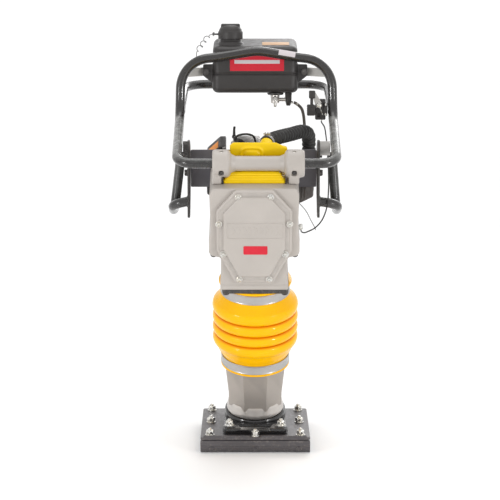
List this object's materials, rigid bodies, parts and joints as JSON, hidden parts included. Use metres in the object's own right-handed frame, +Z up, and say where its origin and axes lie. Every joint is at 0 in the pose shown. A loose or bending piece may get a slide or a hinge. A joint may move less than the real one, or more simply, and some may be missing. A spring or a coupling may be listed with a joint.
{
  "type": "jumping jack rammer",
  "caption": "Upright petrol trench rammer: flat shoe, leaning leg with a ribbed bellows, gear case, engine, and a tube handle frame that carries the fuel tank.",
  "frame": {"origin": "middle of the flat underside of the shoe, where it stands on the ground", "axes": "+Z up, +Y back towards the operator, -Y the way the machine leans and walks, +X to the right seen from the front"},
  "size_m": [0.4569, 0.6369, 1.129],
  "materials": {
    "cast_grey": "painted",
    "cast_aluminium": "cast",
    "black_paint": "gloss",
    "black_plastic": "satin",
    "laminate": "resin-bonded",
    "black_rubber": "matt",
    "yellow_rubber": "gloss",
    "yellow_plastic": "gloss",
    "steel": "bright",
    "zinc_plated": "zinc plated",
    "shoe_paint": "satin",
    "dark_steel": "satin",
    "filter_paper": "pleated"
  },
  "bodies": {
    "ram_foot": {"shoe_sole_plate": "shoe_paint", "shoe_block": "laminate", "shoe_deck_plate": "shoe_paint", "shoe_bolt_1": "zinc_plated", "shoe_bolt_2": "zinc_plated", "shoe_bolt_3": "zinc_plated", "shoe_bolt_4": "zinc_plated", "shoe_bolt_5": "zinc_plated", "shoe_bolt_6": "zinc_plated", "shoe_bolt_7": "zinc_plated", "shoe_bolt_8": "zinc_plated", "foot_casting": "black_paint", "leg_cylinder": "cast_aluminium", "spring_cylinder": "steel", "lower_spring": "dark_steel", "upper_spring": "dark_steel", "lower_clamp_band": "steel", "bellows": "yellow_rubber"},
    "machine": {"upper_clamp_band": "steel", "guide_cylinder": "dark_steel", "crankcase": "cast_grey", "crankcase_cover": "cast_grey", "crank_bearing": "steel", "engine_block": "cast_aluminium", "fan_housing": "black_plastic", "muffler": "black_paint", "heat_shield": "steel", "spark_plug_cap": "black_rubber", "intake_hose": "black_rubber", "carburettor": "cast_aluminium", "air_filter_base": "yellow_plastic", "air_filter_cover": "yellow_plastic", "filter_element": "filter_paper", "handle_mount": "cast_grey", "rubber_bush_left": "black_rubber", "rubber_bush_right": "black_rubber", "cable_fitting": "zinc_plated", "fuel_hose": "black_rubber"},
    "piston": {"piston_rod": "steel"},
    "crank": {"crank_gear": "steel"},
    "conrod": {"connecting_rod": "steel"},
    "clutch": {"clutch_drum": "steel"},
    "engine_shaft": {"flywheel": "dark_steel"},
    "starter_grip": {"starter_grip": "black_rubber"},
    "choke_lever": {"choke_lever": "black_plastic"},
    "handle": {"handle_frame": "black_paint", "rear_handle": "black_paint", "guard_tube_left": "black_paint", "guard_tube_right": "black_paint", "side_plate_left": "dark_steel", "side_plate_right": "dark_steel", "cross_panel": "black_plastic", "fuel_tank": "black_plastic", "fuel_tap": "cast_aluminium", "throttle_clamp": "black_plastic", "throttle_cable": "black_rubber", "cap_tether": "zinc_plated"},
    "fuel_cap": {"fuel_cap": "black_plastic"},
    "fuel_tap_lever": {"fuel_tap_lever": "black_plastic"},
    "throttle_lever": {"throttle_lever": "black_plastic"}
  },
  "joints": [
    {"name": "ram_stroke", "type": "slide", "parent": "ram_foot", "child": "machine", "axis": [0, -0.2924, 0.9563], "range_m": [-0.03, 0.035], "stiffness_N_per_m": 30000, "springref_m": 0.0105, "deforming": ["bellows", "lower_spring", "upper_spring"]},
    {"name": "piston_travel", "type": "slide", "parent": "machine", "child": "piston", "axis": [0, -0.2924, 0.9563], "range_m": [0, 0.04], "deforming": ["lower_spring", "upper_spring"]},
    {"name": "crank_spin", "type": "hinge", "parent": "machine", "child": "crank", "pos_m": [0, -0.14631, 0.66332], "axis": [0, 0.9563, 0.2924], "continuous": true},
    {"name": "conrod_swing", "type": "hinge", "parent": "crank", "child": "conrod", "pos_m": [0, -0.16724, 0.63601], "axis": [0, 0.9563, 0.2924], "continuous": true},
    {"name": "clutch_spin", "type": "hinge", "parent": "machine", "child": "clutch", "pos_m": [0, -0.11612, 0.56458], "axis": [0, 0.9563, 0.2924], "continuous": true},
    {"name": "engine_spin", "type": "hinge", "parent": "machine", "child": "engine_shaft", "pos_m": [0, 0.04836, 0.61487], "axis": [0, 0.9563, 0.2924], "continuous": true},
    {"name": "starter_pull", "type": "slide", "parent": "machine", "child": "starter_grip", "axis": [0, 0.9563, 0.2924], "range_m": [0, 0.4], "stiffness_N_per_m": 30, "springref_m": -0.1},
    {"name": "choke_turn", "type": "hinge", "parent": "machine", "child": "choke_lever", "pos_m": [-0.0575, 0.088, 0.822], "axis": [0, 1, 0], "range_deg": [0, 55]},
    {"name": "handle_rock", "type": "hinge", "parent": "machine", "child": "handle", "pos_m": [0.0057, -0.25373, 0.7821], "axis": [1, 0, 0], "range_deg": [-2.5, 2.5], "stiffness_Nm_per_rad": 2500, "springref_deg": 0.83, "deforming": ["throttle_cable", "fuel_hose"]},
    {"name": "fuel_cap_turn", "type": "hinge", "parent": "handle", "child": "fuel_cap", "pos_m": [-0.067, 0.092, 1.1], "axis": [0, 0, 1], "range_deg": [0, 90], "deforming": ["cap_tether"]},
    {"name": "fuel_tap_turn", "type": "hinge", "parent": "handle", "child": "fuel_tap_lever", "pos_m": [0.054, 0.044, 0.928], "axis": [0, 1, 0], "range_deg": [0, 90]},
    {"name": "throttle_turn", "type": "hinge", "parent": "handle", "child": "throttle_lever", "pos_m": [0.171, 0, 0.914], "axis": [0, 1, 0], "range_deg": [-50, 0]}
  ],
  "couplings": [
    {"joint": "conrod_swing", "follows": "crank_spin", "ratio": -1},
    {"joint": "clutch_spin", "follows": "crank_spin", "ratio": -3.5385}
  ]
}
